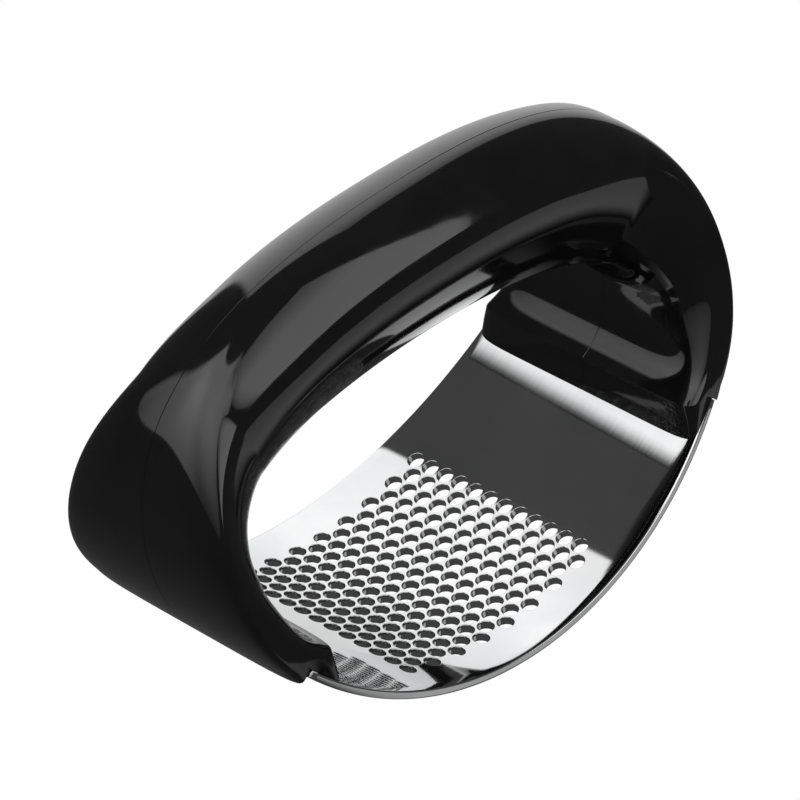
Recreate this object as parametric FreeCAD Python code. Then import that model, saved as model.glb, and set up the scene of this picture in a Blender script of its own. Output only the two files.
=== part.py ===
import FreeCAD, Part
import math
import os

# Rocker garlic press: a perforated steel plate, curved like a shallow cradle, held at both
# ends by a closed palm loop that is moulded as a front and a rear half shell.
# Units are millimetres. X runs along the loop, Y across it, Z is up.
# The origin is below the plate's middle, level with the lowest points of its long edges.

# --- press plate ---
PLATE_THICKNESS = 1.0
PLATE_RISE = 15.3            # shoulders above the middle, on the upper, inner face
SHOULDER_INSET = 8.7         # from each end of the loop in to the plate's shoulder
PLATE_WIDTH = 41.0           # at mid length
PLATE_END_WIDTH = 34.4       # at the shoulders
EDGE_DROP = 0.3              # long edges are turned down by this much at mid length
EDGE_BAND = 1.7              # width of the turned part
NECK_WIDTH = 18.0            # tongue beyond each shoulder: a neck, then a wider head
NECK_LENGTH = 2.2
HEAD_WIDTH = 25.0
HEAD_LENGTH = 2.2

# --- hole field ---
HOLE_DIAMETER = 2.1
HOLE_WEB = 0.4               # metal between two holes, in every direction
HOLE_ROWS = 16
HOLES_PER_ROW = 12
FIELD_SHIFT = -1.0           # the field sits a little off the plate's middle

# --- palm loop, seen from the side ---
LOOP_LENGTH = 86.8
LOOP_HEIGHT = 58.7           # top of the grip above the origin
BELLY_HEIGHT = 32.8          # where the loop is longest
SHOULDER_ROUNDNESS = 2.46    # exponent of the outer curve above the belly
GRIP_DEPTH = 21.9            # top of the grip to its under side
LEG_DEPTH = 8.7              # outer to inner face of a leg at the belly
WINDOW_BELLY_HEIGHT = 27.0   # where the inner window is longest
WINDOW_SQUARENESS = 3.5      # exponent of the window's curve below that height
FOOT_TURN = 0.47             # cosine of the turn at which that curve meets the foot
LIP = 1.6                    # shell outside the plate's end
FOOT_LENGTH = 6.2            # along the plate, from its shoulder to the toe of the foot
FOOT_HEIGHT = 4.9
FOOT_LEAN = 0.2              # top of the foot's inner face, out from its toe

# --- palm loop, across ---
GRIP_WIDTH = 16.6
LEG_WIDTH = 34.4
FLARE_START = 0.47           # share of the way from the grip's top to the leg's end
FLARE_POWER = 0.7            # below 1, the width grows sooner
LEG_SECTION_START = 0.3      # grip's section turns into the leg's between these shares
LEG_SECTION_END = 0.8
FOOT_SECTION_START = 0.8     # and the leg's inner side into the foot's between these
FOOT_SECTION_END = 0.95
FOOT_SPREAD = 0.055          # extra share of width where the foot stands on the plate
FOOT_SPREAD_START = 0.86
FOOT_SPREAD_END = 0.965
CREST_SHARE_GRIP = 0.37      # depth of the widest line, as a share of the section's depth
CREST_SHARE_LEG = 0.28
OUTER_ROUNDNESS_GRIP = 2.0
OUTER_ROUNDNESS_LEG = 4.6
INNER_ROUNDNESS_GRIP = 1.6
INNER_ROUNDNESS_LEG = 2.6
INNER_ROUNDNESS_FOOT = 8.0

# --- inside the shells ---
WALL = 2.2
CAVITY_END = 0.74            # share of the way to the leg's end where the hollow stops
BOSS_DIAMETER = 5.0
PIN_DIAMETER = 2.4
PIN_LENGTH = 3.0
PIN_ANGLES = (20.0, 52.0, 80.0)   # degrees round the loop from its top, on both sides
FIT = 0.1                    # clearance round pins and tongues

SEAT_OVERRUN = 3.0           # the loop is drawn this far past the plate, then cut to it
STATIONS = 120               # sections along the loop
SECTION_POINTS = 26          # points from the outer to the inner seam of a section
FINE_STEPS = 600             # steps round a section to measure its length
LOOP_STEPS = 4800            # steps round the loop to measure its length
OUTLINE_STEPS = 16           # spans along each long edge of the plate

# --- worked out ---
half_length = LOOP_LENGTH / 2
window_half_length = half_length - LEG_DEPTH
shoulder_x = half_length - SHOULDER_INSET
inner_radius = (shoulder_x ** 2 + PLATE_RISE ** 2) / (2 * PLATE_RISE)
outer_radius = inner_radius + PLATE_THICKNESS
axis_height = outer_radius + EDGE_DROP
shoulder_angle = math.asin(shoulder_x / inner_radius)
neck_angle = shoulder_angle + NECK_LENGTH / inner_radius
head_angle = neck_angle + HEAD_LENGTH / inner_radius
hole_pitch = HOLE_DIAMETER + HOLE_WEB
row_spacing = hole_pitch * math.sqrt(3) / 2 * inner_radius / (inner_radius + PLATE_THICKNESS / 2)


def on_plate(angle, radius):
    """Point (x, z) at an angle round the plate's axis, measured from straight down."""
    return radius * math.sin(angle), axis_height - radius * math.cos(angle)


lip_x, lip_z = on_plate(shoulder_angle, outer_radius + LIP)
toe_x, toe_z = on_plate(shoulder_angle - FOOT_LENGTH / inner_radius, inner_radius)
foot_top_x, foot_top_z = toe_x + FOOT_LEAN, toe_z + FOOT_HEIGHT
outer_drop = (BELLY_HEIGHT - lip_z) / math.sqrt(1 - (lip_x / half_length) ** 2)
foot_reach = (foot_top_x / window_half_length) ** WINDOW_SQUARENESS
last_cosine = (BELLY_HEIGHT - lip_z + SEAT_OVERRUN) / outer_drop
last_angle = math.pi - math.acos(last_cosine)


def outer_profile(angle):
    """Outer curve: x = a sin^(2/n), z = h + c cos^(2/n) above the belly, an ellipse below."""
    side = math.copysign(1, angle)
    s, c = abs(math.sin(angle)), math.cos(angle)
    if c < 0:
        return side * half_length * s, BELLY_HEIGHT + outer_drop * c
    power = 2 / SHOULDER_ROUNDNESS
    return side * half_length * s ** power, BELLY_HEIGHT + (LOOP_HEIGHT - BELLY_HEIGHT) * c ** power


def window_profile(angle):
    """Inner curve: an ellipse, below the belly a squarer arc, then the foot's upright face."""
    side = math.copysign(1, angle)
    s, c = abs(math.sin(angle)), math.cos(angle)
    if c >= 0:
        rise = LOOP_HEIGHT - GRIP_DEPTH - WINDOW_BELLY_HEIGHT
        return side * window_half_length * s, WINDOW_BELLY_HEIGHT + rise * c
    if -c <= FOOT_TURN:
        down = -c / FOOT_TURN
        reach = (1 - (1 - foot_reach) * down ** WINDOW_SQUARENESS) ** (1 / WINDOW_SQUARENESS)
        return side * window_half_length * reach, mix(WINDOW_BELLY_HEIGHT, foot_top_z, down)
    share = (-c - FOOT_TURN) / (last_cosine - FOOT_TURN)
    x = foot_top_x + (toe_x - foot_top_x) * share
    return side * x, foot_top_z - (FOOT_HEIGHT + SEAT_OVERRUN) * share


def loop_angles(first, last):
    """Angles at equal steps of length along the outer curve, with the share of the way down."""
    angles = [-last_angle + 2 * last_angle * i / LOOP_STEPS for i in range(LOOP_STEPS + 1)]
    points = [outer_profile(a) for a in angles]
    lengths = [0.0]
    for before, after in zip(points, points[1:]):
        lengths.append(lengths[-1] + math.dist(before, after))
    total = lengths[-1]
    picked = []
    k = 0
    for i in range(STATIONS + 1):
        share = first + (last - first) * i / STATIONS
        goal = total * (1 + share) / 2
        while k < LOOP_STEPS - 1 and lengths[k + 1] < goal:
            k += 1
        step = (goal - lengths[k]) / (lengths[k + 1] - lengths[k])
        picked.append((angles[k] + (angles[k + 1] - angles[k]) * step, abs(share)))
    return picked


def blend(value, start, end):
    """0 before start, 1 after end, and 3u^2 - 2u^3 between."""
    u = min(max((value - start) / (end - start), 0), 1)
    return u * u * (3 - 2 * u)


def mix(first, second, share):
    return first + (second - first) * share


def even_points(line, count):
    """Points at equal steps of length along a fine polyline, ends included."""
    lengths = [0.0]
    for before, after in zip(line, line[1:]):
        lengths.append(lengths[-1] + math.dist(before, after))
    picked = [line[0]]
    k = 0
    for i in range(1, count):
        goal = lengths[-1] * i / count
        while lengths[k + 1] < goal:
            k += 1
        step = (goal - lengths[k]) / (lengths[k + 1] - lengths[k])
        picked.append(tuple(mix(a, b, step) for a, b in zip(line[k], line[k + 1])))
    return picked + [line[-1]]


def half_section(angle, share, inset):
    """Points of one section's front half, from the outer seam round to the inner seam."""
    ox, oz = outer_profile(angle)
    ix, iz = window_profile(angle)
    depth = math.hypot(ox - ix, oz - iz)
    nx, nz = (ox - ix) / depth, (oz - iz) / depth
    flare = max(share - FLARE_START, 0) / (1 - FLARE_START)
    half_width = mix(GRIP_WIDTH, LEG_WIDTH, blend(flare ** FLARE_POWER, 0, 1)) / 2 - inset
    legness = blend(share, LEG_SECTION_START, LEG_SECTION_END)
    crest = depth * mix(CREST_SHARE_GRIP, CREST_SHARE_LEG, legness)
    outer_power = 2 / mix(OUTER_ROUNDNESS_GRIP, OUTER_ROUNDNESS_LEG, legness)
    inner = mix(INNER_ROUNDNESS_GRIP, INNER_ROUNDNESS_LEG, legness)
    footness = blend(share, FOOT_SECTION_START, FOOT_SECTION_END)
    inner_power = 2 / mix(inner, INNER_ROUNDNESS_FOOT, footness)
    spread = FOOT_SPREAD * blend(share, FOOT_SPREAD_START, FOOT_SPREAD_END)
    flat = []
    for j in range(FINE_STEPS + 1):
        turn = math.pi * j / FINE_STEPS
        across, along = abs(math.sin(turn)), abs(math.cos(turn))
        if 2 * j < FINE_STEPS:
            flat.append((half_width * across ** outer_power, (crest - inset) * along ** outer_power))
        else:
            inward = along ** inner_power
            wider = 1 + spread * blend(inward, 0, 1)
            flat.append((half_width * wider * across ** inner_power, -(depth - crest - inset) * inward))
    flat[0] = (0.0, flat[0][1])
    flat[-1] = (0.0, flat[-1][1])
    points = []
    for y, height in even_points(flat, SECTION_POINTS):
        reach = height - crest
        points.append(FreeCAD.Vector(ox + nx * reach, -y, oz + nz * reach))
    return points


def front_half(inset, end_share):
    """Closed front half of the loop, its skin set in by inset, ending end_share of the way."""
    rows = [half_section(angle, share, inset) for angle, share in loop_angles(-end_share, end_share)]
    surface = Part.BSplineSurface()
    surface.interpolate(rows)
    skin = surface.toShape()
    faces = [skin]
    first_u, last_u, first_v, last_v = surface.bounds()
    seams = [surface.vIso(first_v).toShape(), surface.vIso(last_v).toShape()]
    for v_seam in (first_u, last_u):
        end_curve = surface.uIso(v_seam).toShape()
        chord = Part.makeLine(end_curve.Vertexes[0].Point, end_curve.Vertexes[-1].Point)
        faces.append(Part.Face(Part.Wire(Part.__sortEdges__([end_curve, chord]))))
        seams.append(chord)
    faces.append(Part.Face(Part.Wire(Part.__sortEdges__(seams))))
    shell = Part.makeShell(faces)
    shell.sewShape()
    solid = Part.makeSolid(shell)
    if solid.Volume < 0:
        solid.reverse()
    return solid


def ring_sector(low_radius, high_radius, low_angle, high_angle, width):
    """Part of a tube round the plate's axis, centred across, between two angles."""
    corners = []
    for angle, radius in ((low_angle, low_radius), (high_angle, low_radius),
                          (high_angle, high_radius), (low_angle, high_radius)):
        x, z = on_plate(angle, radius)
        corners.append(FreeCAD.Vector(x, -width / 2, z))
    middle = (low_angle + high_angle) / 2
    near_x, near_z = on_plate(middle, low_radius)
    far_x, far_z = on_plate(middle, high_radius)
    edges = [Part.Arc(corners[0], FreeCAD.Vector(near_x, -width / 2, near_z), corners[1]).toShape(),
             Part.makeLine(corners[1], corners[2]),
             Part.Arc(corners[2], FreeCAD.Vector(far_x, -width / 2, far_z), corners[3]).toShape(),
             Part.makeLine(corners[3], corners[0])]
    return Part.Face(Part.Wire(edges)).extrude(FreeCAD.Vector(0, width, 0))


def tongue(side, clearance):
    """Neck and head beyond one shoulder of the plate, swollen all round by a clearance."""
    angle_gap = clearance / inner_radius
    low, high = inner_radius - clearance, outer_radius + clearance
    neck = ring_sector(low, high, side * (shoulder_angle - angle_gap), side * (neck_angle + angle_gap),
                       NECK_WIDTH + 2 * clearance)
    head = ring_sector(low, high, side * (neck_angle - angle_gap), side * (head_angle + angle_gap),
                       HEAD_WIDTH + 2 * clearance)
    return neck.fuse(head)


def rolled_sheet():
    """Sheet turned round the plate's axis: flat across, its two long edges turned outwards."""
    flat, edge = PLATE_WIDTH / 2 - EDGE_BAND, PLATE_WIDTH / 2
    x, z = on_plate(-shoulder_angle, 1)
    outward = FreeCAD.Vector(x, 0, z - axis_height)
    hub = FreeCAD.Vector(0, 0, axis_height)

    def place(y, radius):
        return hub + outward * radius + FreeCAD.Vector(0, y, 0)

    edges = []
    for radius in (inner_radius, outer_radius):
        edges.append(Part.makeLine(place(-flat, radius), place(flat, radius)))
        for side in (-1, 1):
            bend = place(side * (flat + EDGE_BAND / 2), radius + EDGE_DROP / 4)
            edges.append(Part.Arc(place(side * flat, radius), bend, place(side * edge, radius + EDGE_DROP)).toShape())
    for side in (-1, 1):
        edges.append(Part.makeLine(place(side * edge, inner_radius + EDGE_DROP),
                                   place(side * edge, outer_radius + EDGE_DROP)))
    profile = Part.Face(Part.Wire(Part.__sortEdges__(edges)))
    return profile.revolve(hub, FreeCAD.Vector(0, -1, 0), 2 * math.degrees(shoulder_angle))


def plate_outline():
    """Plan of the plate between its shoulders: its long edges bow outwards as parabolas."""
    near, far = [], []
    for i in range(OUTLINE_STEPS + 1):
        share = 2 * i / OUTLINE_STEPS - 1
        half = mix(PLATE_WIDTH, PLATE_END_WIDTH, share ** 2) / 2
        x = inner_radius * math.sin(shoulder_angle * share)
        near.append(FreeCAD.Vector(x, -half, 0))
        far.append(FreeCAD.Vector(x, half, 0))
    edges = []
    for points in (near, far):
        curve = Part.BSplineCurve()
        curve.interpolate(points)
        edges.append(curve.toShape())
    beyond = FreeCAD.Vector(PLATE_THICKNESS * 2, 0, 0)
    for near_end, far_end, way in ((near[0], far[0], -1), (near[-1], far[-1], 1)):
        a, b = near_end + beyond * way, far_end + beyond * way
        edges += [Part.makeLine(near_end, a), Part.makeLine(a, b), Part.makeLine(b, far_end)]
    return Part.Face(Part.Wire(Part.__sortEdges__(edges)))


def press_plate():
    sheet = rolled_sheet().common(plate_outline().extrude(FreeCAD.Vector(0, 0, axis_height)))
    for side in (-1, 1):
        sheet = sheet.fuse(tongue(side, 0))
    drills = []
    for row in range(HOLE_ROWS):
        arc = FIELD_SHIFT + (row - (HOLE_ROWS - 1) / 2) * row_spacing
        angle = arc / inner_radius
        outward = FreeCAD.Vector(math.sin(angle), 0, -math.cos(angle))
        start_x, start_z = on_plate(angle, inner_radius - PLATE_THICKNESS)
        stagger = hole_pitch / 4 * (-1) ** row
        for column in range(HOLES_PER_ROW):
            y = (column - (HOLES_PER_ROW - 1) / 2) * hole_pitch - stagger
            start = FreeCAD.Vector(start_x, y, start_z)
            drills.append(Part.makeCylinder(HOLE_DIAMETER / 2, 3 * PLATE_THICKNESS, start, outward))
    return sheet.removeSplitter().cut(drills)


def pin_places():
    """Centres of the pins (x, z), halfway through the loop's depth."""
    places = []
    for degrees in PIN_ANGLES:
        for side in (-1, 1):
            angle = side * math.radians(degrees)
            ox, oz = outer_profile(angle)
            ix, iz = window_profile(angle)
            places.append(((ox + ix) / 2, (oz + iz) / 2))
    return places


def half_shell():
    """Front half, hollow in the grip and the legs, with bosses and cut to fit the plate."""
    solid = front_half(0, 1)
    shell = solid.cut(front_half(WALL, CAVITY_END))
    toward_front = FreeCAD.Vector(0, -1, 0)
    for x, z in pin_places():
        boss = Part.makeCylinder(BOSS_DIAMETER / 2, LEG_WIDTH, FreeCAD.Vector(x, 0, z), toward_front)
        shell = shell.fuse(boss.common(solid))
    seat_angle = shoulder_angle + FIT / inner_radius
    seat_depth = outer_radius + half_length
    seat = ring_sector(inner_radius, seat_depth, -seat_angle, seat_angle, 2 * LEG_WIDTH)
    shell = shell.cut(seat)
    for side in (-1, 1):
        shell = shell.cut(tongue(side, FIT))
    return shell


def front_shell(half):
    for x, z in pin_places():
        start = FreeCAD.Vector(x, -PIN_LENGTH, z)
        half = half.fuse(Part.makeCylinder(PIN_DIAMETER / 2, 2 * PIN_LENGTH, start, FreeCAD.Vector(0, 1, 0)))
    return half


def rear_shell(half):
    half = half.mirror(FreeCAD.Vector(0, 0, 0), FreeCAD.Vector(0, 1, 0))
    for x, z in pin_places():
        start = FreeCAD.Vector(x, 0, z)
        socket = Part.makeCylinder(PIN_DIAMETER / 2 + FIT / 2, PIN_LENGTH + FIT, start, FreeCAD.Vector(0, 1, 0))
        half = half.cut(socket)
    return half


os.makedirs("parts", exist_ok=True)
blank = half_shell()
nodes = {
    "press_plate": press_plate(),
    "handle_front_shell": front_shell(blank),
    "handle_rear_shell": rear_shell(blank),
}
for name, shape in nodes.items():
    if len(shape.Solids) != 1 or not shape.isValid():
        raise ValueError(name + " is not one valid solid")
    shape.Solids[0].exportStep("parts/" + name + ".step")
    box = shape.BoundBox
    print(name, "volume", round(shape.Volume), "box", [round(v, 2) for v in
          (box.XMin, box.YMin, box.ZMin, box.XMax, box.YMax, box.ZMax)])
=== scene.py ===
# %% [markdown]
# # A rocker garlic press
# The press is a shallow steel cradle full of holes, held at both ends by a black loop that fits the
# palm. Rocking it over a clove pushes the garlic up through the holes. The loop is moulded in two
# halves, a front and a rear shell, that meet in the plane through the middle of the plate.
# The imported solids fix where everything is. The pieces below are worked out in millimetres,
# because that is how such a part is drawn, and are put into Blender in metres.

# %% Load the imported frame
import math
import bmesh
import bpy
import numpy as np
from mathutils import Matrix, Vector


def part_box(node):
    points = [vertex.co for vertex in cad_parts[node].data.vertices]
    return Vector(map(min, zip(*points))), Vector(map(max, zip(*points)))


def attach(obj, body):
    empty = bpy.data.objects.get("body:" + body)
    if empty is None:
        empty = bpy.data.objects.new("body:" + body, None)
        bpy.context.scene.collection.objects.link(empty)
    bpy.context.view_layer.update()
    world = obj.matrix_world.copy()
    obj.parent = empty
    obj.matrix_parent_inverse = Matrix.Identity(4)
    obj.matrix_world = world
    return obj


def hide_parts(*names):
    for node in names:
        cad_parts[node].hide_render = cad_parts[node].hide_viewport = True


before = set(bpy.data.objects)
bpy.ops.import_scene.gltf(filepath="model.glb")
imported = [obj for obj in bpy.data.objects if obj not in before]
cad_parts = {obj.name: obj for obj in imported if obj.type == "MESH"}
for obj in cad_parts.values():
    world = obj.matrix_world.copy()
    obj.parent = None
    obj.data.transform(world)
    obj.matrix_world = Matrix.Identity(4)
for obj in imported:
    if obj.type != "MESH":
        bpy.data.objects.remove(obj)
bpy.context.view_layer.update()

MM = 0.001

# %% [markdown]
# ## Camera
# The press is seen from the front left and from above, with a long lens, so that parallel edges
# stay nearly parallel. A camera needs a place and a turn. The place is set by an azimuth, an
# elevation and a distance from a target inside the loop, and a small roll tips the horizon.

# %% Camera
AZIMUTH, ELEVATION, ROLL = math.radians(-44.315), math.radians(35.497), math.radians(-3.487)
TARGET = Vector((1.678, 3.079, 25.3)) * MM
DISTANCE = 662.277 * MM
LENS = 249.13

back = Vector((math.sin(AZIMUTH) * math.cos(ELEVATION),
               -math.cos(AZIMUTH) * math.cos(ELEVATION), math.sin(ELEVATION)))
level = Vector((math.cos(AZIMUTH), math.sin(AZIMUTH), 0))
upright = back.cross(level)
right = level * math.cos(ROLL) + upright * math.sin(ROLL)
up = back.cross(right)

camera_data = bpy.data.cameras.new("camera")
camera_data.lens = LENS
camera_data.sensor_width = 36.0
camera_data.clip_start, camera_data.clip_end = 0.05, 20.0
camera = bpy.data.objects.new("camera", camera_data)
bpy.context.scene.collection.objects.link(camera)
turn = Matrix((right, up, back)).transposed()
camera.matrix_world = Matrix.Translation(TARGET + back * DISTANCE) @ turn.to_4x4()
bpy.context.scene.camera = camera
print("camera at", [round(v, 4) for v in camera.location])

# %% [markdown]
# ## Grids of points
# Every surface here is a grid: rows one way, columns the other. A grid becomes a mesh by joining
# each point with its neighbours to a four-sided face. Blender could also loft curves, but with
# arrays the same formula that draws the part also says where each point is, to the micron.

# %% Turn grids into one closed mesh
WELD = 0.0015 * MM


def grid_faces(rows, columns, first):
    """Faces of a grid: point (i, j) is joined with (i+1, j), (i+1, j+1) and (i, j+1)."""
    index = first + np.arange(rows * columns).reshape(rows, columns)
    faces = np.stack([index[:-1, :-1], index[1:, :-1], index[1:, 1:], index[:-1, 1:]], axis=-1)
    return faces.reshape(-1, 4)


def closed_mesh(name, grids, crease_degrees):
    """Joins grids of millimetre points to one mesh: points that meet are welded and faces turned outwards."""
    points, faces, count = [], [], 0
    for grid in grids:
        rows, columns = grid.shape[:2]
        points.append(grid.reshape(-1, 3) * MM)
        faces.append(grid_faces(rows, columns, count))
        count += rows * columns
    mesh = bpy.data.meshes.new(name)
    mesh.from_pydata(np.concatenate(points).tolist(), [], np.concatenate(faces).tolist())
    weld_mesh(mesh)
    mesh.set_sharp_from_angle(angle=math.radians(crease_degrees))
    return mesh


def weld_mesh(mesh):
    """Merges points that are in one place, drops faces without area, and turns faces outwards."""
    work = bmesh.new()
    work.from_mesh(mesh)
    bmesh.ops.remove_doubles(work, verts=work.verts, dist=WELD)
    bmesh.ops.dissolve_degenerate(work, edges=work.edges, dist=WELD)
    bmesh.ops.recalc_face_normals(work, faces=work.faces)
    for face in work.faces:
        face.smooth = True
    open_edges = sum(1 for edge in work.edges if not edge.is_manifold)
    work.to_mesh(mesh)
    work.free()
    print(mesh.name, "faces", len(mesh.polygons), "open edges", open_edges)


def place_piece(mesh, nodes, material):
    """Links the finished mesh, gives it its finish, parents it to the root and hides the solids it stands
    for.
    """
    piece = bpy.data.objects.new(mesh.name, mesh)
    bpy.context.scene.collection.objects.link(piece)
    mesh.materials.append(material)
    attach(piece, "root")
    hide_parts(*nodes)
    return piece


# %% [markdown]
# ## Sizes of the press
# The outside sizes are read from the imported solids. The rest are the drawing's own sizes: the
# plate is a sheet rolled to an arc, and the loop is drawn by an outer and an inner curve.

# %% Sizes
plate_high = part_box("press_plate")[1]
loop_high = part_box("handle_front_shell")[1]
half_length = loop_high[0] / MM
LOOP_HEIGHT = loop_high[2] / MM
PLATE_THICKNESS = 1.0
PLATE_RISE = 15.3
SHOULDER_INSET = 8.7
half_plate_width = plate_high[1] / MM
HALF_PLATE_END = 17.2
HOLE_RADIUS = 1.05
HOLE_PITCH = 2.5
HOLE_ROWS, HOLES_PER_ROW = 16, 12
FIELD_SHIFT = -1.0
BELLY_HEIGHT = 32.8
SHOULDER_ROUNDNESS = 2.46
GRIP_DEPTH = 21.9
LEG_DEPTH = 8.7
WINDOW_BELLY_HEIGHT = 27.0
WINDOW_SQUARENESS, FOOT_TURN = 3.5, 0.47
LIP = 1.6
FOOT_LENGTH, FOOT_HEIGHT, FOOT_LEAN = 6.2, 4.9, 0.2
FOOT_SPREAD, FOOT_SPREAD_START, FOOT_SPREAD_END = 0.055, 0.86, 0.965
GRIP_WIDTH, LEG_WIDTH = 16.6, 34.4
FLARE_START, FLARE_POWER = 0.47, 0.7
CREST_SHARE_GRIP, CREST_SHARE_LEG = 0.37, 0.28
OUTER_ROUNDNESS_GRIP, OUTER_ROUNDNESS_LEG = 2.0, 4.6
INNER_ROUNDNESS_GRIP, INNER_ROUNDNESS_LEG, INNER_ROUNDNESS_FOOT = 1.6, 2.6, 10.0
SEAT_GAP = 0.1
EDGE_DROP = 0.3

shoulder_x = half_length - SHOULDER_INSET
inner_radius = (shoulder_x ** 2 + PLATE_RISE ** 2) / (2 * PLATE_RISE)
outer_radius = inner_radius + PLATE_THICKNESS
axis_height = outer_radius + EDGE_DROP
shoulder_angle = math.asin(shoulder_x / inner_radius)
window_half_length = half_length - LEG_DEPTH
print("plate radius", round(inner_radius, 2), "shoulder at degrees", round(math.degrees(shoulder_angle), 2))


def on_plate(angle, radius):
    """Place (x, z) at an angle from straight down round the plate's axis, at a radius from it."""
    return radius * np.sin(angle), axis_height - radius * np.cos(angle)


# %% [markdown]
# ## The loop's two curves
# Seen from the side, the loop lies between an outer curve and the inner curve of the finger
# window. Above its widest height each is a swollen ellipse: x = a sin^(2/n), z = h + c cos^(2/n).
# Below it the outer curve is a plain ellipse through the lip under the plate's end, and the window's
# is a squarer arc, |x/a|^n, that turns in to the top of the foot. One angle runs round both.

# %% Side curves
lip_x, lip_z = on_plate(shoulder_angle, outer_radius + LIP)
toe_x, toe_z = on_plate(shoulder_angle - FOOT_LENGTH / inner_radius, inner_radius)
foot_top_x, foot_top_z = toe_x + FOOT_LEAN, toe_z + FOOT_HEIGHT
outer_drop = (BELLY_HEIGHT - lip_z) / math.sqrt(1 - (lip_x / half_length) ** 2)
foot_reach = (foot_top_x / window_half_length) ** WINDOW_SQUARENESS
OVERRUN = 3.0
FINE_STEPS = 6000
last_cosine = (BELLY_HEIGHT - lip_z + OVERRUN) / outer_drop
last_angle = math.pi - math.acos(last_cosine)
kink_angle = math.pi - math.acos(FOOT_TURN)


def outer_curve(angle):
    """x = a sin^(2/n), z = h + c cos^(2/n) above the belly, and a plain ellipse below it."""
    s, c = np.sin(angle), np.cos(angle)
    power = np.where(c < 0, 1.0, 2 / SHOULDER_ROUNDNESS)
    rise = np.where(c < 0, outer_drop, LOOP_HEIGHT - BELLY_HEIGHT)
    return half_length * s ** power, BELLY_HEIGHT + rise * np.sign(c) * np.abs(c) ** power


def window_curve(angle):
    """An ellipse above the belly, below it x = a (1 - k u^n)^(1/n), then the foot's face.
    u goes evenly from 0 at the belly to 1 at the foot's top."""
    s, c = np.sin(angle), np.cos(angle)
    down = np.clip(-c / FOOT_TURN, 0, 1)
    reach = (1 - (1 - foot_reach) * down ** WINDOW_SQUARENESS) ** (1 / WINDOW_SQUARENESS)
    share = np.maximum(-c - FOOT_TURN, 0) / (last_cosine - FOOT_TURN)
    x = window_half_length * np.where(c < 0, reach, s) + (toe_x - foot_top_x) * share
    rise = LOOP_HEIGHT - GRIP_DEPTH - WINDOW_BELLY_HEIGHT
    z = WINDOW_BELLY_HEIGHT + np.where(c < 0, (foot_top_z - WINDOW_BELLY_HEIGHT) * down, rise * c)
    return x, z - (FOOT_HEIGHT + OVERRUN) * share


fine_angle = np.linspace(0, last_angle, FINE_STEPS + 1)
fine_x, fine_z = outer_curve(fine_angle)
fine_length = np.concatenate([[0], np.cumsum(np.hypot(np.diff(fine_x), np.diff(fine_z)))])
kink_share = float(np.interp(kink_angle, fine_angle, fine_length / fine_length[-1]))
print("half loop length", round(fine_length[-1], 1), "foot starts at share", round(kink_share, 3))

# %% [markdown]
# ## Sections of the loop
# Cut square to the loop, the grip is a fat oval and each leg a wide, flatter shape with a firm
# outer edge. Both are super-ellipses: across = w sin^(2/n), along = d cos^(2/n), and a larger n
# makes a squarer corner. Width, depth and n change smoothly on the way down, so one grid of
# sections holds the whole flowing form. The points are spaced evenly along each section.

# %% Half sections, from the outer seam round to the inner seam
HALF_STATIONS, SECTION_POINTS, FINE_TURN = 1000, 112, 700
SEAM_WIDTH, SEAM_DEPTH = 0.06, 0.09
LEG_SECTION_START, LEG_SECTION_END = 0.3, 0.8
FOOT_SECTION_START, FOOT_SECTION_END = 0.72, 0.95


def smooth_step(value, start, end):
    """0 before start, 1 after end, and 3u^2 - 2u^3 between."""
    u = np.clip((value - start) / (end - start), 0, 1)
    return u * u * (3 - 2 * u)


def mix(first, second, share):
    return first + (second - first) * share


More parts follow.
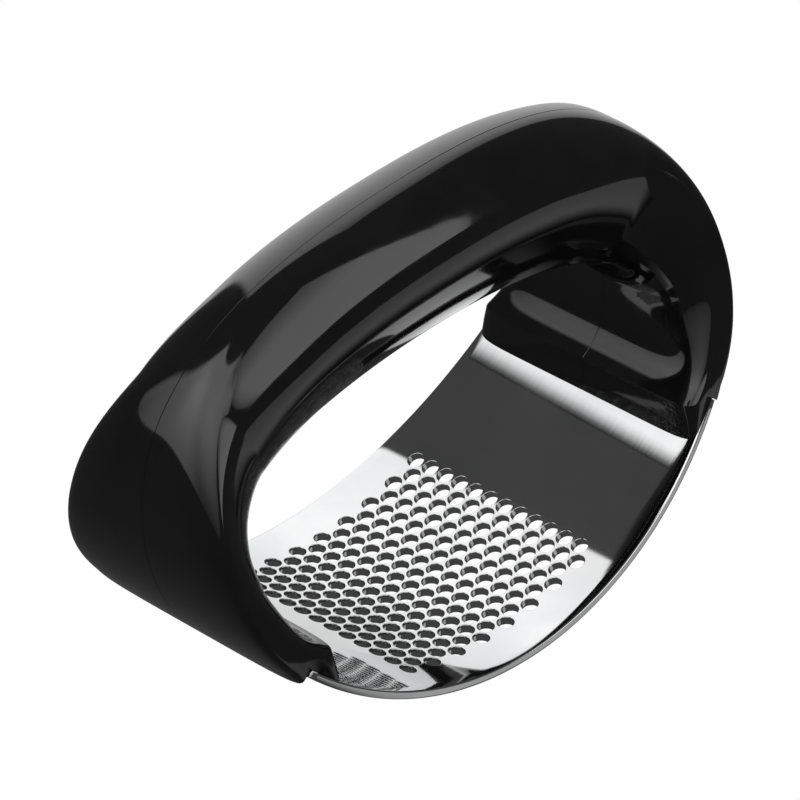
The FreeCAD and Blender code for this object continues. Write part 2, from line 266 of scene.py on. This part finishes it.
def half_sections(share):
    """Front half sections at the shares of the way down the loop: points (section, point, xyz)."""
    angle = np.interp(share, fine_length / fine_length[-1], fine_angle)
    ox, oz = outer_curve(angle)
    ix, iz = window_curve(angle)
    depth = np.hypot(ox - ix, oz - iz)
    nx, nz = (ox - ix) / depth, (oz - iz) / depth
    flare = np.maximum(share - FLARE_START, 0) / (1 - FLARE_START)
    half_width = mix(GRIP_WIDTH, LEG_WIDTH, smooth_step(flare ** FLARE_POWER, 0, 1)) / 2
    legness = smooth_step(share, LEG_SECTION_START, LEG_SECTION_END)
    crest = depth * mix(CREST_SHARE_GRIP, CREST_SHARE_LEG, legness)
    outer_power = 2 / mix(OUTER_ROUNDNESS_GRIP, OUTER_ROUNDNESS_LEG, legness)
    footness = smooth_step(share, FOOT_SECTION_START, FOOT_SECTION_END)
    spread = FOOT_SPREAD * smooth_step(share, FOOT_SPREAD_START, FOOT_SPREAD_END)
    inner_roundness = mix(INNER_ROUNDNESS_GRIP, INNER_ROUNDNESS_LEG, legness)
    inner_power = 2 / mix(inner_roundness, INNER_ROUNDNESS_FOOT, footness)
    round_turn = np.linspace(0, np.pi, FINE_TURN + 1)[None, :]
    outside = round_turn < np.pi / 2
    power = np.where(outside, outer_power[:, None], inner_power[:, None])
    inward = np.abs(np.cos(round_turn)) ** power
    wider = 1 + spread[:, None] * np.where(outside, 0, smooth_step(inward, 0, 1))
    across = half_width[:, None] * wider * np.abs(np.sin(round_turn)) ** power
    along = np.where(outside, crest[:, None], (crest - depth)[:, None]) * inward
    across[:, 0] = across[:, -1] = 0
    length = np.concatenate([np.zeros((len(share), 1)),
                             np.cumsum(np.hypot(np.diff(across), np.diff(along)), axis=1)], axis=1)
    goal = length[:, -1:] * np.linspace(0, 1, SECTION_POINTS + 1)[None, :]
    goal[:, 1], goal[:, -2] = SEAM_WIDTH, length[:, -1] - SEAM_WIDTH
    low = np.stack([np.searchsorted(row, g) for row, g in zip(length, goal)]).clip(1, FINE_TURN) - 1
    before, after = np.take_along_axis(length, low, 1), np.take_along_axis(length, low + 1, 1)
    step = (goal - before) / np.maximum(after - before, 1e-12)
    y = mix(np.take_along_axis(across, low, 1), np.take_along_axis(across, low + 1, 1), step)
    reach = mix(np.take_along_axis(along, low, 1), np.take_along_axis(along, low + 1, 1), step)
    reach -= crest[:, None]
    reach[:, 0] -= SEAM_DEPTH
    reach[:, -1] += SEAM_DEPTH
    return np.stack([ox[:, None] + nx[:, None] * reach, -y, oz[:, None] + nz[:, None] * reach], axis=-1)


# %% [markdown]
# ## Cutting the legs to the plate
# Each leg stands on the plate's inner face and wraps a thin lip round the plate's end. Instead of
# a boolean, every line that runs down the leg stops where it meets the seat: the plate's inner
# cylinder, or the flat end by the shoulder. That keeps the grid regular and its shading clean.

# %% Trim each line at the seat and mirror it to the other leg
ROWS_ABOVE_FOOT, ROWS_ON_FOOT, CAP_STEPS = 205, 26, 5
seat_angle = shoulder_angle + SEAT_GAP / inner_radius
SEAT_CLEARANCE = 0.01
seat_radius = inner_radius - SEAT_CLEARANCE


def trimmed_half(fine):
    """Right half of the skin: each column ends where min(r - R, seat angle - angle) first turns positive."""
    x, z = fine[..., 0], fine[..., 2]
    radius = np.hypot(x, z - axis_height)
    angle = np.arctan2(x, axis_height - z)
    inside = np.minimum(radius - seat_radius, (seat_angle - angle) * inner_radius)
    first = np.argmax(inside > 0, axis=0)
    columns = np.arange(fine.shape[1])
    before, after = inside[first - 1, columns], inside[first, columns]
    end = first - 1 + before / (before - after)
    kink = kink_share * HALF_STATIONS
    above = np.linspace(0, 1, ROWS_ABOVE_FOOT + 1)[:, None] * np.minimum(kink, end - 1)[None, :]
    on_foot = np.linspace(0, 1, ROWS_ON_FOOT + 1)[1:, None]
    place = np.concatenate([above, mix(above[-1:], end[None, :], on_foot)])
    low = np.clip(np.floor(place).astype(int), 0, HALF_STATIONS - 1)
    step = (place - low)[..., None]
    return mix(fine[low, columns[None, :]], fine[low + 1, columns[None, :]], step)


def foot_cap(rim):
    """Underside of one leg, as straight lines in (angle, radius): from the outer rim to the
    seat's corner, and on to the inner rim."""
    side = np.sign(rim[0, 0])
    angle = np.arctan2(np.abs(rim[:, 0]), axis_height - rim[:, 2])
    radius = np.hypot(rim[:, 0], rim[:, 2] - axis_height)
    polar = np.stack([angle, radius, rim[:, 1]], axis=-1)
    half = SECTION_POINTS // 2
    start, end = polar[:half + 1], polar[::-1][:half + 1]
    corner = np.stack([np.maximum(start[:, 0], end[:, 0]), np.minimum(start[:, 1], end[:, 1]),
                       (start[:, 2] + end[:, 2]) / 2], axis=-1)
    t = np.linspace(0, 1, CAP_STEPS + 1)[None, :, None]
    path = np.concatenate([mix(start[:, None], corner[:, None], t),
                           mix(corner[:, None], end[:, None], t)[:, 1:]], axis=1)
    x, z = on_plate(path[..., 0], path[..., 1])
    return np.stack([side * x, path[..., 2], z], axis=-1)


def front_shell_grids():
    """Skin, two foot caps, and the flat parting face between the outer and the inner seam."""
    fine = half_sections(np.linspace(0, 1, HALF_STATIONS + 1))
    right_half = trimmed_half(fine)
    left_half = right_half[:0:-1] * np.array([-1, 1, 1])
    skin = np.concatenate([left_half, right_half])
    caps = [foot_cap(skin[0]), foot_cap(skin[-1])]
    across = np.linspace(0, 1, 2 * CAP_STEPS + 1)[None, :, None]
    ruled = mix(skin[:, :1], skin[:, -1:], across)
    parting = np.concatenate([caps[0][:1], ruled, caps[1][:1]])
    return [skin, *caps, parting]


shell_grids = front_shell_grids()
print("shell skin", shell_grids[0].shape, "low z", round(float(shell_grids[0][..., 2].min()), 2),
      "half width", round(float(-shell_grids[0][..., 1].min()), 2))

# %% [markdown]
# ## Black plastic
# The shells are glossy black moulded plastic. It has almost no colour of its own, so what is seen
# is what it mirrors. A very fine waviness of the surface and slightly uneven gloss, from handling
# and from the mould's polish, keep the reflections from looking like glass.

# %% Material of the shells


def new_material(name):
    """A fresh node material and its Principled shader."""
    material = bpy.data.materials.new(name)
    material.use_nodes = True
    return material, material.node_tree, material.node_tree.nodes["Principled BSDF"]


def noise_on_object(tree, scale, detail, stretch=(1, 1, 1)):
    """Noise in the piece's own space: metres times the stretch, so scale counts lumps per metre."""
    where = tree.nodes.new("ShaderNodeTexCoord")
    mapping = tree.nodes.new("ShaderNodeMapping")
    mapping.inputs["Scale"].default_value = stretch
    noise = tree.nodes.new("ShaderNodeTexNoise")
    noise.inputs["Scale"].default_value = scale
    noise.inputs["Detail"].default_value = detail
    tree.links.new(where.outputs["Object"], mapping.inputs["Vector"])
    tree.links.new(mapping.outputs["Vector"], noise.inputs["Vector"])
    return noise


def ramp_between(tree, source, low, high, first=0.35, last=0.65):
    """A number that goes from low to high as the source goes from first to last."""
    scale = tree.nodes.new("ShaderNodeMapRange")
    scale.inputs["From Min"].default_value = first
    scale.inputs["From Max"].default_value = last
    scale.inputs["To Min"].default_value = low
    scale.inputs["To Max"].default_value = high
    tree.links.new(source, scale.inputs["Value"])
    return scale.outputs["Result"]


def colour_between(tree, source, low, high, first=0.35, last=0.65):
    """A colour that goes from low to high as the source goes from first to last."""
    ramp = tree.nodes.new("ShaderNodeValToRGB")
    ramp.color_ramp.elements[0].position = first
    ramp.color_ramp.elements[1].position = last
    ramp.color_ramp.elements[0].color = (*low, 1)
    ramp.color_ramp.elements[1].color = (*high, 1)
    tree.links.new(source, ramp.inputs["Fac"])
    return ramp.outputs["Color"]


def bump_from(tree, shader, source, strength, distance):
    """Tips the surface by a height pattern, without moving it."""
    bump = tree.nodes.new("ShaderNodeBump")
    bump.inputs["Strength"].default_value = strength
    bump.inputs["Distance"].default_value = distance
    tree.links.new(source, bump.inputs["Height"])
    tree.links.new(bump.outputs["Normal"], shader.inputs["Normal"])


def black_plastic_material():
    material, tree, shader = new_material("black_moulded_plastic")
    cloud = noise_on_object(tree, 140, 3)
    smear = noise_on_object(tree, 420, 5, (1, 2.5, 1))
    blacks = (0.0042, 0.0042, 0.0044), (0.0062, 0.0062, 0.0064)
    tree.links.new(colour_between(tree, cloud.outputs["Fac"], *blacks), shader.inputs["Base Color"])
    tree.links.new(ramp_between(tree, smear.outputs["Fac"], 0.05, 0.085), shader.inputs["Roughness"])
    shader.inputs["IOR"].default_value = 1.5
    waves = noise_on_object(tree, 260, 1)
    bump_from(tree, shader, waves.outputs["Fac"], 0.06, 0.0001)
    return material


plastic = black_plastic_material()

# %% Front and rear shells
SHELL_CREASE, PLATE_CREASE = 30, 40
front_mesh = closed_mesh("handle_front", shell_grids, SHELL_CREASE)
place_piece(front_mesh, ["handle_front_shell"], plastic)
rear_grids = [grid * np.array([1, -1, 1]) for grid in shell_grids]
rear_mesh = closed_mesh("handle_rear", rear_grids, SHELL_CREASE)
place_piece(rear_mesh, ["handle_rear_shell"], plastic)

# %% [markdown]
# ## The perforated plate
# The plate is a 1 mm sheet, punched flat and rolled to an arc, so it is drawn flat as well: a is
# the length along the arc and y the width, and rolling is x = r sin(a/R), z = h - r cos(a/R).
# Each hole sits in a six-sided cell, and the cells tile like a honeycomb. A cell is a stack of
# rings: the cell's outline, a ring just outside the hole, the rounded rim, the wall, and the same
# again below. Cutting holes with a boolean would leave long thin faces that spoil a mirror finish.

# %% Ring template of one cell
EDGE_POINTS = 6
row_spacing = HOLE_PITCH * math.sqrt(3) / 2 * inner_radius / (inner_radius + PLATE_THICKNESS / 2)
RIM_ROUND, BURR = 0.09, 0.15


def cell_outline():
    """Outline of a cell as (a, y), its corners up and down the arc, with even points along each side."""
    corners = np.array([(2 / 3, 0), (1 / 3, 0.5), (-1 / 3, 0.5), (-2 / 3, 0), (-1 / 3, -0.5), (1 / 3, -0.5)])
    corners = corners * np.array([row_spacing, HOLE_PITCH])
    t = (np.arange(EDGE_POINTS) / EDGE_POINTS)[None, :, None]
    return mix(corners[:, None], np.roll(corners, -1, axis=0)[:, None], t).reshape(-1, 2)


def cell_rings():
    """One cell as rings of (a, y, depth): outline, rim, wall and the same on the under side."""
    outline = cell_outline()
    way = outline / np.linalg.norm(outline, axis=1, keepdims=True)
    quarter = np.radians([0, 30, 60, 90])
    rim_radius = HOLE_RADIUS + RIM_ROUND * (1 - np.sin(quarter))
    rim_depth = RIM_ROUND * (1 - np.cos(quarter))
    radius = np.concatenate([rim_radius, rim_radius[::-1]])
    depth = np.concatenate([rim_depth, PLATE_THICKNESS + BURR - rim_depth[::-1]])
    rings = [np.column_stack([way * r, np.full(len(way), d)]) for r, d in zip(radius, depth)]
    top = np.column_stack([outline, np.zeros(len(way))])
    under = np.column_stack([outline, np.full(len(way), PLATE_THICKNESS)])
    rings = np.stack([top, *rings, under])
    return np.concatenate([rings, rings[:, :1]], axis=1)


def roll_sheet(flat):
    """Rolls flat (a, y, depth) to the arc: the angle is a/R, and depth is measured outwards."""
    angle, radius = flat[..., 0] / inner_radius, inner_radius + flat[..., 2]
    x, z = on_plate(angle, radius)
    return np.stack([x, flat[..., 1], z], axis=-1)


row = np.arange(HOLE_ROWS)
row_place = FIELD_SHIFT + (row - (HOLE_ROWS - 1) / 2) * row_spacing
row_stagger = -HOLE_PITCH / 4 * (-1.0) ** row
column_place = (np.arange(HOLES_PER_ROW) - (HOLES_PER_ROW - 1) / 2) * HOLE_PITCH
centres = np.stack(np.broadcast_arrays(row_place[:, None], column_place[None, :] + row_stagger[:, None],
                                       np.zeros((HOLE_ROWS, HOLES_PER_ROW))), axis=-1).reshape(-1, 3)
cells = centres[:, None, None] + cell_rings()[None]
print("cells", cells.shape[0], "points in each", cells.shape[1] * cells.shape[2])

# %% [markdown]
# ## The plain metal round the holes
# The rest of the plate is two strips beside the holes and two bands out to the shoulders. Their
# inner edges are the same zigzag as the outermost cells, so that every point has its partner. The
# long edges are turned down a little and end in a cut edge, as a press tool leaves them.

# %% Strips, bands and turned edges
SIDE_COLUMNS, BAND_ROWS, EDGE_STEPS = 6, 18, 8
EDGE_BAND, EDGE_DIP, CORNER_ROUND = 1.2, 0.05, 0.12
plate_half_arc = inner_radius * shoulder_angle


def half_width_at(a):
    """The long edges bow outwards as parabolas, widest midway."""
    x_share = a / plate_half_arc
    return mix(half_plate_width, HALF_PLATE_END, x_share ** 2)


def side_zigzag(side):
    """Inner edge of one side strip, from the first row to the last: along a cell, then to the next."""
    outer = column_place[-1] * side + row_stagger + side * HOLE_PITCH / 2
    a = np.stack([row_place - row_spacing / 3, row_place + row_spacing / 3], axis=-1).reshape(-1)
    y = np.repeat(outer, 2)
    t = (np.arange(EDGE_POINTS) / EDGE_POINTS)[None, :]
    along = mix(a[:-1, None], a[1:, None], t).reshape(-1)
    over = mix(y[:-1, None], y[1:, None], t).reshape(-1)
    return np.append(along, a[-1]), np.append(over, y[-1])


def end_zigzag(end):
    """Edge of the first or last row of cells, from the front to the back."""
    which = 0 if end < 0 else -1
    centre_y = column_place + row_stagger[which]
    pairs = np.stack([centre_y - HOLE_PITCH / 2, centre_y], axis=-1).reshape(-1)
    y = np.append(pairs, centre_y[-1] + HOLE_PITCH / 2)
    a = row_place[which] + end * row_spacing * np.where(np.arange(len(y)) % 2, 2 / 3, 1 / 3)
    t = (np.arange(EDGE_POINTS) / EDGE_POINTS)[None, :]
    along = mix(a[:-1, None], a[1:, None], t).reshape(-1)
    over = mix(y[:-1, None], y[1:, None], t).reshape(-1)
    return np.append(along, a[-1]), np.append(over, y[-1])


def edge_profile():
    """Turned edge from the flat outwards, as rows of (share of the band, depth)."""
    t = np.linspace(0, 1, EDGE_STEPS + 1)[1:]
    return np.column_stack([t, EDGE_DIP * t ** 2])


turned_edge = edge_profile()


def sheet_grid(a, inner_y, side, depth_side):
    """Strip of one face beside the holes: from the zigzag to the flat's end, then over the turned edge."""
    half = half_width_at(a)
    limit = side * (half - EDGE_BAND)
    t = np.linspace(0, 1, SIDE_COLUMNS + 1)[None, :]
    flat_y = mix(inner_y[:, None], limit[:, None], t)
    edge_y = side * (half[:, None] - EDGE_BAND * (1 - turned_edge[None, :, 0]))
    y = np.concatenate([flat_y, edge_y], axis=1)
    drop = np.concatenate([np.zeros(SIDE_COLUMNS + 1), turned_edge[:, 1]])[None, :]
    depth = np.broadcast_to(drop, y.shape) + depth_side
    return np.stack([np.broadcast_to(a[:, None], y.shape), y, depth], axis=-1)


def round_corner(grid, depth_side):
    """Pulls the last column in and adds the small round where a face meets the cut edge."""
    last = grid[:, -1]
    out = np.sign(last[:, 1:2])
    into = 1 if depth_side == 0 else -1
    quarter = np.radians([0, 30, 60, 90])[None, :, None]
    y = last[:, None, 1:2] - out[:, None] * CORNER_ROUND * (1 - np.sin(quarter))
    depth = last[:, None, 2:3] + into * CORNER_ROUND * (1 - np.cos(quarter))
    a = np.broadcast_to(last[:, None, :1], y.shape)
    return np.concatenate([grid[:, :-1], np.concatenate([a, y, depth], axis=-1)], axis=1)


def band_grid(end, depth_side):
    """Band from the last cells to the shoulder, with the two turned edges at its sides."""
    a0, y0 = end_zigzag(end)
    corner = a0[0]
    front = round_corner(sheet_grid(np.array([corner]), y0[:1], -1, depth_side), depth_side)[0, ::-1]
    back_side = round_corner(sheet_grid(np.array([corner]), y0[-1:], 1, depth_side), depth_side)[0]
    middle = np.column_stack([a0, y0, np.full(len(a0), float(depth_side))])
    base_line = np.concatenate([front[:-1], middle, back_side[1:]])
    start_half = half_width_at(base_line[None, :, 0])
    v = np.linspace(0, 1, BAND_ROWS + 1)[:, None]
    a = mix(base_line[None, :, 0], end * plate_half_arc, v)
    flat_share = base_line[None, :, 1] / (start_half - EDGE_BAND)
    on_edge = np.abs(flat_share) > 1
    half = half_width_at(a)
    flat_y = flat_share * (half - EDGE_BAND)
    edge_y = np.sign(base_line[None, :, 1]) * (half - (start_half - np.abs(base_line[None, :, 1])))
    y = np.where(on_edge, edge_y, flat_y)
    depth = np.broadcast_to(base_line[None, :, 2], y.shape)
    return np.stack([a, y, depth], axis=-1)


plate_grids, walls = [], []
for depth_side in (0, PLATE_THICKNESS):
    for side in (-1, 1):
        a, inner_y = side_zigzag(side)
        plate_grids.append(round_corner(sheet_grid(a, inner_y, side, depth_side), depth_side))
    for end in (-1, 1):
        plate_grids.append(band_grid(end, depth_side))
upper, under = plate_grids[:4], plate_grids[4:]
for top_grid, under_grid in zip(upper[:2], under[:2]):
    walls.append(np.stack([top_grid[:, -1], under_grid[:, -1]], axis=1))
for top_grid, under_grid in zip(upper[2:], under[2:]):
    walls.append(np.stack([top_grid[:, 0], under_grid[:, 0]], axis=1))
    walls.append(np.stack([top_grid[:, -1], under_grid[:, -1]], axis=1))
    walls.append(np.stack([top_grid[-1], under_grid[-1]], axis=1))
flat_grids = list(cells) + plate_grids + walls
plate_mesh = closed_mesh("press_plate_steel", [roll_sheet(grid) for grid in flat_grids], PLATE_CREASE)

# %% [markdown]
# ## Mirror-smooth shading
# Blender shades a smooth face from the normals at its corners, which are averages of the faces
# round them. On a mirror even a tenth of a degree shows, so on the rolled faces the true normals
# are set instead: they point straight at the plate's axis, or away from it on the under side.

# %% True normals on the rolled faces


def set_rolled_normals(mesh):
    """Normals toward the axis where r = R, away from it where r = R + thickness, averages elsewhere."""
    count = len(mesh.vertices)
    place, normal = np.empty(count * 3), np.empty(count * 3)
    mesh.vertices.foreach_get("co", place)
    mesh.vertex_normals.foreach_get("vector", normal)
    place, normal = place.reshape(-1, 3) / MM, normal.reshape(-1, 3)
    radius = np.hypot(place[:, 0], place[:, 2] - axis_height)
    toward = np.column_stack([-place[:, 0], np.zeros(count), axis_height - place[:, 2]]) / radius[:, None]
    a = np.arctan2(place[:, 0], axis_height - place[:, 2]) * inner_radius
    flat = np.abs(place[:, 1]) < half_width_at(a) - EDGE_BAND + 0.001
    top = flat & (np.abs(radius - inner_radius) < 1e-3)
    low = flat & (np.abs(radius - outer_radius) < 1e-3)
    normal[top], normal[low] = toward[top], -toward[low]
    mesh.normals_split_custom_set_from_vertices(normal.tolist())
    print("true normals on", int(top.sum() + low.sum()), "of", count, "points")


set_rolled_normals(plate_mesh)

# %% [markdown]
# ## Polished steel
# Stainless steel is a tinted mirror: a metal shader with a grey colour and little roughness. The
# polishing wheel leaves hair-thin lines along the plate, and use leaves faint smears and specks.

# %% Material of the plate


def polished_steel_material():
    material, tree, shader = new_material("polished_stainless_steel")
    shader.inputs["Metallic"].default_value = 1.0
    smear = noise_on_object(tree, 90, 4)
    lines = noise_on_object(tree, 700, 2, (0.12, 3, 0.12))
    specks = noise_on_object(tree, 900, 2)
    tree.links.new(colour_between(tree, smear.outputs["Fac"], (0.50, 0.505, 0.51), (0.57, 0.57, 0.575)),
                   shader.inputs["Base Color"])
    tree.links.new(ramp_between(tree, smear.outputs["Fac"], 0.025, 0.055), shader.inputs["Roughness"])
    height = tree.nodes.new("ShaderNodeMath")
    height.operation = "MULTIPLY_ADD"
    height.inputs[1].default_value = 0.35
    tree.links.new(specks.outputs["Fac"], height.inputs[0])
    tree.links.new(lines.outputs["Fac"], height.inputs[2])
    bump_from(tree, shader, height.outputs["Value"], 0.04, 0.00002)
    return material


place_piece(plate_mesh, ["press_plate"], polished_steel_material())

# %% [markdown]
# ## Floor, studio and light
# The press stands on a plain pale floor in a white room. Black gloss and mirror steel show only
# what is round them, so the light is made of soft panels whose reflections draw the shape.

# %% Floor and studio
FLOOR_GAP = 0.0002
ROOM_SIDES = 96
WORLD_STRENGTH = 0.085


def glowing_material(name, strength):
    """A pale surface that gives off even light."""
    material = bpy.data.materials.new(name)
    material.use_nodes = True
    tree = material.node_tree
    tree.nodes.clear()
    glow = tree.nodes.new("ShaderNodeEmission")
    glow.inputs["Strength"].default_value = strength
    out = tree.nodes.new("ShaderNodeOutputMaterial")
    tree.links.new(glow.outputs["Emission"], out.inputs["Surface"])
    return material


def studio_room():
    """Floor and wall in one: a disc that curves up into a dome, as a surface of revolution."""
    turn_round = np.linspace(0, 2 * np.pi, ROOM_SIDES + 1)
    profile = np.array([(0.0, 0.0), (0.5, 0.0), (1.5, 0.0), (2.6, 0.0), (3.0, 0.08), (3.2, 0.3), (3.2, 1.0),
                        (2.9, 2.0), (2.0, 2.9), (1.0, 3.3), (0.0, 3.4)])
    grid = np.stack([profile[:, None, 0] * np.cos(turn_round), profile[:, None, 0] * np.sin(turn_round),
                     np.broadcast_to(profile[:, None, 1], (len(profile), ROOM_SIDES + 1))], axis=-1)
    mesh = bpy.data.meshes.new("studio_room")
    mesh.from_pydata(grid.reshape(-1, 3).tolist(), [], grid_faces(*grid.shape[:2], 0).tolist())
    room = bpy.data.objects.new("studio_room", mesh)
    bpy.context.scene.collection.objects.link(room)
    mesh.materials.append(glowing_material("white_room", 1.0))
    room.location.z = -FLOOR_GAP
    return room


room = studio_room()
room.visible_glossy = False
room.visible_diffuse = False
room.visible_shadow = False

bpy.context.scene.view_settings.view_transform = "Standard"
world = bpy.data.worlds.new("studio")
world.use_nodes = True
world.node_tree.nodes["Background"].inputs["Color"].default_value = (1, 1, 1, 1)
world.node_tree.nodes["Background"].inputs["Strength"].default_value = WORLD_STRENGTH
bpy.context.scene.world = world

# %% [markdown]
# ## Soft panels
# A studio tent is cloth lit from behind: it glows evenly and fades toward its edges. Each panel is
# a patch of a sphere round the press, so it is one grid in azimuth and elevation, and its glow is
# a product of soft steps, kept as a number on each point that the emission reads.

# %% Panels of light
PANEL_DISTANCE, PANEL_CENTRE_HEIGHT = 1.6, 0.03
GLOW_ROWS, GLOW_COLUMNS = 64, 96


def panel_material():
    """Emission whose strength is the glow kept on the panel's points."""
    material = glowing_material("lit_cloth", 1.0)
    tree = material.node_tree
    glow = tree.nodes.new("ShaderNodeAttribute")
    glow.attribute_name = "glow"
    tree.links.new(glow.outputs["Fac"], tree.nodes["Emission"].inputs["Strength"])
    return material


lit_cloth = panel_material()


def light_panel(name, azimuths, elevations, bow, glow_at):
    """Patch of a sphere: place = d (sin az cos el, -cos az cos el, sin el).
    Its points carry glow_at(az, el, u, t), with u along and t up the panel. azimuths and
    elevations give both ends at the bottom and both at the top; bow sags the bottom edge."""
    t = np.linspace(0, 1, GLOW_ROWS + 1)[:, None]
    u = np.linspace(0, 1, GLOW_COLUMNS + 1)[None, :]
    corners = [mix(mix(a, b, u), mix(c, d, u), t) for a, b, c, d in (azimuths, elevations)]
    az, el = corners[0], corners[1] - bow * 4 * u * (1 - u) * (1 - t)
    glow = glow_at(az, el, u, t)
    az, el = np.radians(az), np.radians(el)
    grid = PANEL_DISTANCE * np.stack([np.sin(az) * np.cos(el), -np.cos(az) * np.cos(el), np.sin(el)], axis=-1)
    mesh = bpy.data.meshes.new(name)
    mesh.from_pydata(grid.reshape(-1, 3).tolist(), [], grid_faces(*az.shape, 0).tolist())
    kept_glow = mesh.attributes.new("glow", "FLOAT", "POINT")
    kept_glow.data.foreach_set("value", glow.reshape(-1).astype(np.float32))
    mesh.materials.append(lit_cloth)
    panel = bpy.data.objects.new(name, mesh)
    panel.location.z = PANEL_CENTRE_HEIGHT
    bpy.context.scene.collection.objects.link(panel)
    panel.visible_camera = False
    print(name, "glow", round(float(glow.min()), 2), "to", round(float(glow.max()), 2))


def front_glow(az, el, u, t):
    """Brightest low down and to the right, softer toward the top and the left."""
    return 2.05 * smooth_step(u, -0.15, 0.25) * (1 - 0.55 * smooth_step(el, 40, 74))


def left_glow(az, el, u, t):
    """Brighter with height, with a brighter part toward the back and a soft left side."""
    rise = np.interp(el, [4, 20, 30, 40, 50, 60, 70], [0.2, 0.6, 1.0, 1.4, 1.9, 2.2, 2.0])
    toward_back = smooth_step(-az, 95, 120) * (1 - smooth_step(-az, 124, 140))
    toward_back = toward_back * (1 - smooth_step(el, 50, 68))
    front_top = smooth_step(az, -50, -20) * smooth_step(el, 50, 70)
    return (rise + 0.8 * toward_back) * (1 - 0.5 * front_top) * smooth_step(u, 0, 0.045)


def back_glow(az, el, u, t):
    """Brighter with height and toward the middle, and at the bottom, where it stands for the floor."""
    rise = np.interp(el, [-38, -32, -20, 0, 10, 20, 30, 50, 60],
                     [1.1, 0.6, 0.7, 1.2, 1.45, 1.6, 1.7, 1.6, 1.3])
    return rise * smooth_step(u, -0.35, 0.4) * smooth_step(1 - u, 0, 0.04)


def floor_glow(az, el, u, t):
    return 0.55 * smooth_step(u, 0, 0.3) * smooth_step(1 - u, 0, 0.3) * smooth_step(t, 0, 0.3)


light_panel("panel_front", (16, 37, -32, 47), (3, 2, 71, 71), 0, front_glow)
light_panel("panel_left", (-152, -8, -141, -20), (27, 18, 76, 76), 19, left_glow)
light_panel("panel_back", (110, 152, 118, 170), (-38, -38, 58, 58), 0, back_glow)
light_panel("panel_floor", (15, 75, 15, 75), (-50, -50, -24, -24), 0, floor_glow)
